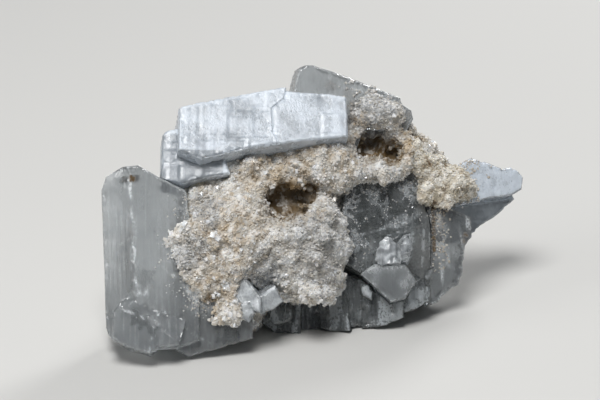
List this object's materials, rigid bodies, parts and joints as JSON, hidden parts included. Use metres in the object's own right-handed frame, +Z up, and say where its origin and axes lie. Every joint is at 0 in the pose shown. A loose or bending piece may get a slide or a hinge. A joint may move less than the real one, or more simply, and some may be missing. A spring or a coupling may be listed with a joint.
{
  "type": "barite specimen",
  "caption": "Natural cluster of tabular translucent crystals standing in a lumpy matrix under a sugary crystal crust, free-standing.",
  "frame": {"origin": "middle of the bounding box, on the plane that the specimen stands on", "axes": "+Z up, +X along the specimen's length towards its pale pointed end, -Y towards the side that shows the broad crystal faces"},
  "size_m": [0.0966, 0.058, 0.0561],
  "materials": {
    "clear_grey_barite": "translucent grey, glassy to satin lustre",
    "frosted_white_barite": "frosted bluish white, satin lustre",
    "dark_glassy_barite": "dark grey, translucent, glassy lustre",
    "pale_broken_barite": "pale, broken, glassy to pearly lustre",
    "cream_crust_barite": "cream, matt, grainy",
    "sugary_druse_barite": "tan to white, sugary small crystals"
  },
  "bodies": {
    "root": {"left_slab": "clear_grey_barite", "upper_slab": "frosted_white_barite", "back_crystal": "clear_grey_barite", "grey_crystal": "dark_glassy_barite", "right_slab": "clear_grey_barite", "right_point": "frosted_white_barite", "front_block": "clear_grey_barite", "pale_cap": "pale_broken_barite", "base_crystals": "dark_glassy_barite", "front_wedge": "pale_broken_barite", "cream_crust": "cream_crust_barite", "matrix_druse": "sugary_druse_barite"}
  },
  "joints": []
}
